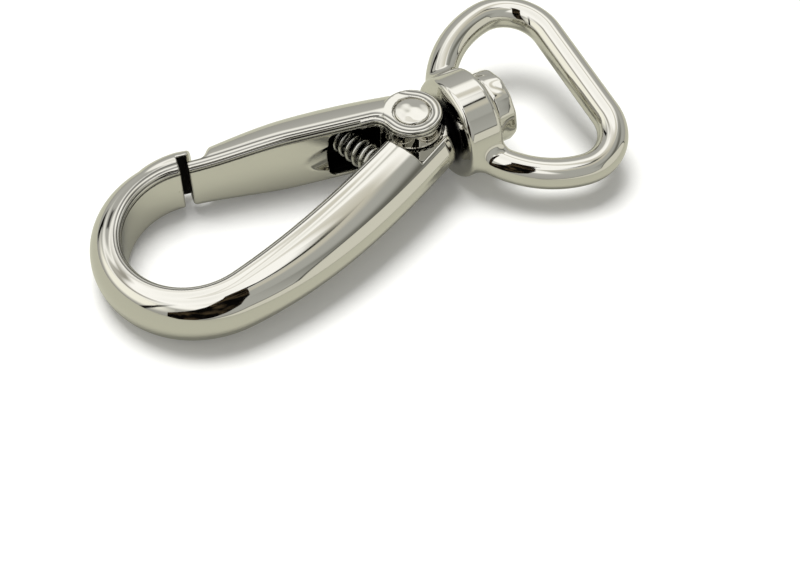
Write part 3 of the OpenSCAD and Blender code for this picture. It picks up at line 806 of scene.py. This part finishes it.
# the map: turns along the wire, and once round it
along_wire, round_wire = np.meshgrid(np.arange(TURNS * STEPS), np.arange(SIDES), indexing="ij")
corners = np.stack([np.stack([(along_wire + a) / STEPS, (round_wire + b) / SIDES], -1)
                    for a, b in ((0, 0), (1, 0), (1, 1), (0, 1))], -2)
spread = np.concatenate([corners.reshape(-1, 2), np.zeros((2 * SIDES, 2))])
spring_piece.data.uv_layers.new(name="UVMap").data.foreach_set("uv", spread.ravel())
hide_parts("gate_spring")
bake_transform(spring_piece)


# The swivel loop
# The third casting: the collar that turns on the neck, and the D-shaped loop of
# round bar for the strap, which grows out of the collar's sides.

COLLAR_LENGTH, SWIVEL_FIT, LOOP_TURN, ARM_FILLET = 4.35, 0.08, 12, 0.9
BAR_RADIUS, BAR_X, BAR_HALF, CORNER_RADIUS, ARM_BEGIN = 1.8, 18.2, 6.3, 5.5, 99.4
# each arm is an arc that leaves the corner in its direction and ends inside the collar
ARM_ROOT = np.array([2.0, 4.1])
CORNER = np.array([BAR_X - CORNER_RADIUS, BAR_HALF])
arm_start = CORNER + CORNER_RADIUS * heading(ARM_BEGIN)
arm_way = -heading(ARM_BEGIN - 90)
span = ARM_ROOT - arm_start
ARM_RADIUS = span @ span / (2 * (arm_way[0] * span[1] - arm_way[1] * span[0]))
ARM_CENTRE = arm_start + ARM_RADIUS * np.array([-arm_way[1], arm_way[0]])
ROOT_TURN = np.degrees(np.arctan2(ARM_ROOT[1] - ARM_CENTRE[1], ARM_ROOT[0] - ARM_CENTRE[0]))


def to_arc(x, y, centre, radius, low, high):
    """Distance in plan to an arc: to the point of it in the same direction from its centre, or to its end."""
    a = np.radians(np.clip(np.degrees(np.arctan2(y - centre[1], x - centre[0])), low, high))
    return np.hypot(x - centre[0] - radius * np.cos(a), y - centre[1] - radius * np.sin(a))


def loop_casting(x, y, z):
    """Distance to the swivel loop.

    The collar and the round bar, which runs along two arms, two corners and a straight, are joined
    with a small fillet and bored for the neck.
    """
    c, d = heading(LOOP_TURN)
    across, above = np.abs(y * c + z * d), -y * d + z * c
    plan = np.minimum(to_arc(x, across, CORNER, CORNER_RADIUS, 0, ARM_BEGIN),
                      to_arc(x, across, ARM_CENTRE, ARM_RADIUS, ARM_BEGIN, ROOT_TURN))
    plan = np.minimum(plan, np.hypot(x - BAR_X, np.maximum(across - BAR_HALF, 0)))
    bar = np.hypot(plan, above) - BAR_RADIUS
    ring = np.hypot(y, z)
    collar = round_keep(ring - COLLAR_RADIUS, np.abs(x - COLLAR_LENGTH / 2) - COLLAR_LENGTH / 2, COLLAR_BEVEL)
    whole = round_join(collar, bar, ARM_FILLET)
    return round_keep(whole, -np.maximum(ring - NECK_RADIUS - SWIVEL_FIT, x - COLLAR_LENGTH - 1), 0.2)


def loop_recess(x, y, z):
    """Painted shade: 1 in the bore and on the collar's near face round it, fading out towards the rim."""
    ring = np.hypot(y, z)
    return ease((4.6 - ring) / 1.2) * (x < COLLAR_LENGTH + 0.1)


points, faces, normals = skin_of(loop_casting, (-0.9, -14.2, -6.5), (21.0, 14.2, 6.5), GRID)
loop_piece = piece_from("loop_casting", points, faces, nickel, normals, recess=loop_recess)
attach(loop_piece, "loop")
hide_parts("swivel_loop")
